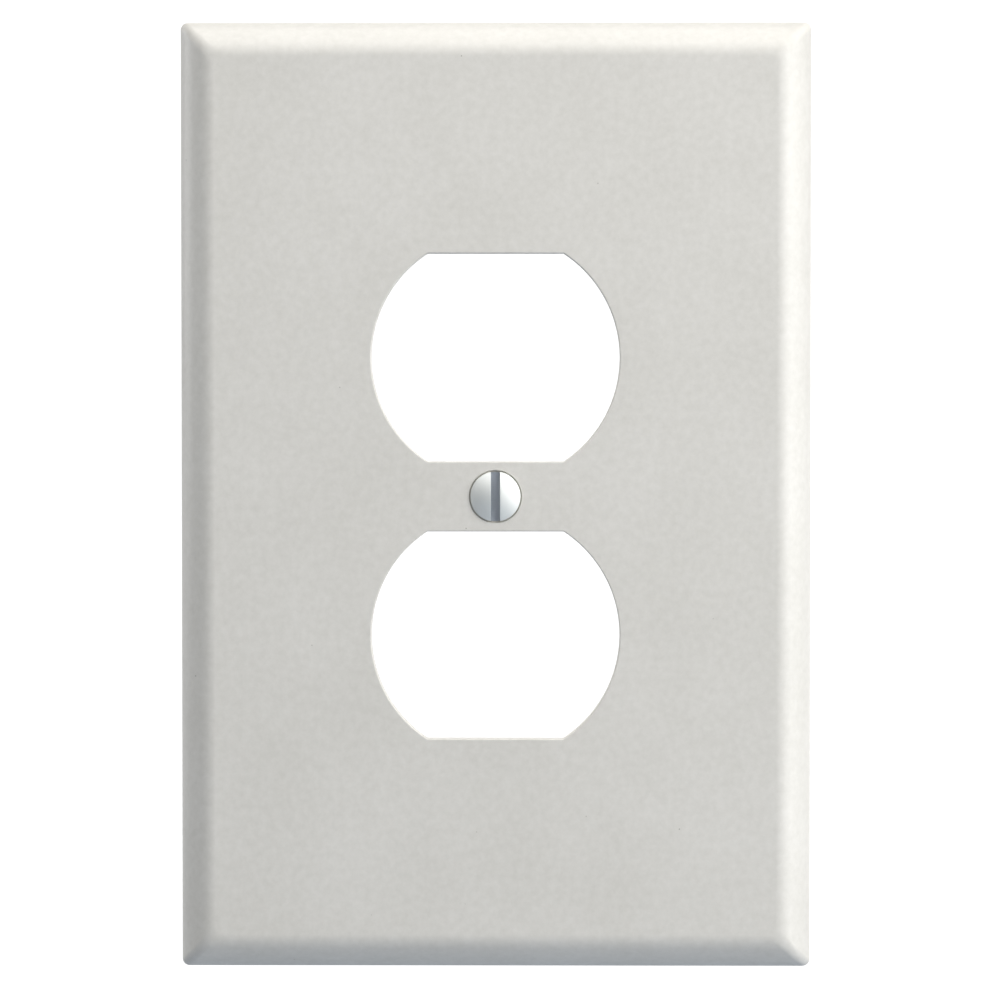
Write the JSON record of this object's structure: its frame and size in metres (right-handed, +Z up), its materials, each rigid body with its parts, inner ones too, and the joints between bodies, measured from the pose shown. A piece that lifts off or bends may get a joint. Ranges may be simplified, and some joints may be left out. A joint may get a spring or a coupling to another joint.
{
  "type": "duplex receptacle wall plate",
  "caption": "Oversize rectangular wall plate with rolled edges, two flat-sided round openings and a slotted oval-head screw held in its centre bar.",
  "frame": {"origin": "where the screw's axis meets the wall plane, in the middle of the plate's back", "axes": "+X right and +Z up as seen from the front, +Y into the wall; the front face looks along -Y"},
  "size_m": [0.0888, 0.0141, 0.1334],
  "materials": {
    "moulded_plate": "satin",
    "plated_steel": "satin",
    "vulcanised_fibre": "matte"
  },
  "bodies": {
    "plate": {"wall_plate": "moulded_plate"},
    "washer": {"retaining_washer": "vulcanised_fibre"},
    "screw": {"mounting_screw": "plated_steel"}
  },
  "joints": [
    {"name": "screw_travel", "type": "slide", "parent": "plate", "child": "washer", "axis": [0, -1, 0], "range_m": [0, 0.00238]},
    {"name": "screw_turn", "type": "hinge", "parent": "washer", "child": "screw", "pos_m": [0, 0, 0], "axis": [0, -1, 0], "range_deg": [0, 1080]}
  ],
  "couplings": [
    {"joint": "screw_turn", "follows": "screw_travel", "rad_per_m": 7915.8}
  ]
}
